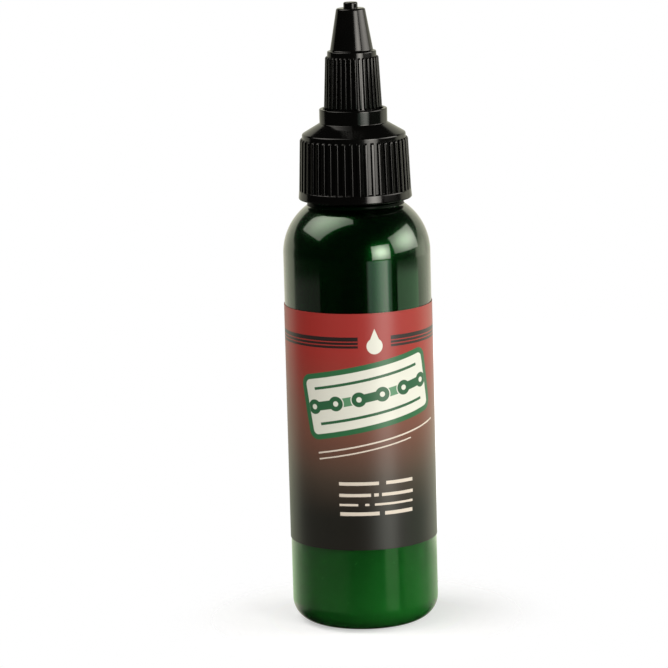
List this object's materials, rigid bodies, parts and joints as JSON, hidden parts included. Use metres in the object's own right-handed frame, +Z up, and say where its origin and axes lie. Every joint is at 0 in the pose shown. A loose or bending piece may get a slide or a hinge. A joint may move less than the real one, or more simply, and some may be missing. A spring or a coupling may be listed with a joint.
{
  "type": "chain lube bottle",
  "caption": "Slim round see-through bottle with a domed shoulder, a wrap-round label and a ribbed twist-open dripper closure, for putting lube on a bicycle chain.",
  "frame": {"origin": "centre of the bottle's standing ring, on the surface it stands on", "axes": "+Z up along the bottle's axis, the label's front faces -Y"},
  "size_m": [0.032, 0.032, 0.1351],
  "materials": {
    "green_pet": "clear dark green, gloss",
    "label_film": "printed film, satin gloss",
    "lube": "milky liquid",
    "black_plastic": "moulded black, gloss"
  },
  "bodies": {
    "bottle_body": {"bottle": "green_pet", "label": "label_film", "lube_fill": "lube"},
    "closure_body": {"closure_base": "black_plastic"},
    "tip_body": {"twist_tip": "black_plastic"}
  },
  "joints": [
    {"name": "closure_lift", "type": "slide", "parent": "bottle_body", "child": "closure_body", "axis": [0, 0, 1], "range_m": [0, 0.022]},
    {"name": "tip_twist", "type": "hinge", "parent": "closure_body", "child": "tip_body", "pos_m": [0, 0, 0.1098], "axis": [0, 0, 1], "range_deg": [0, 180]}
  ]
}
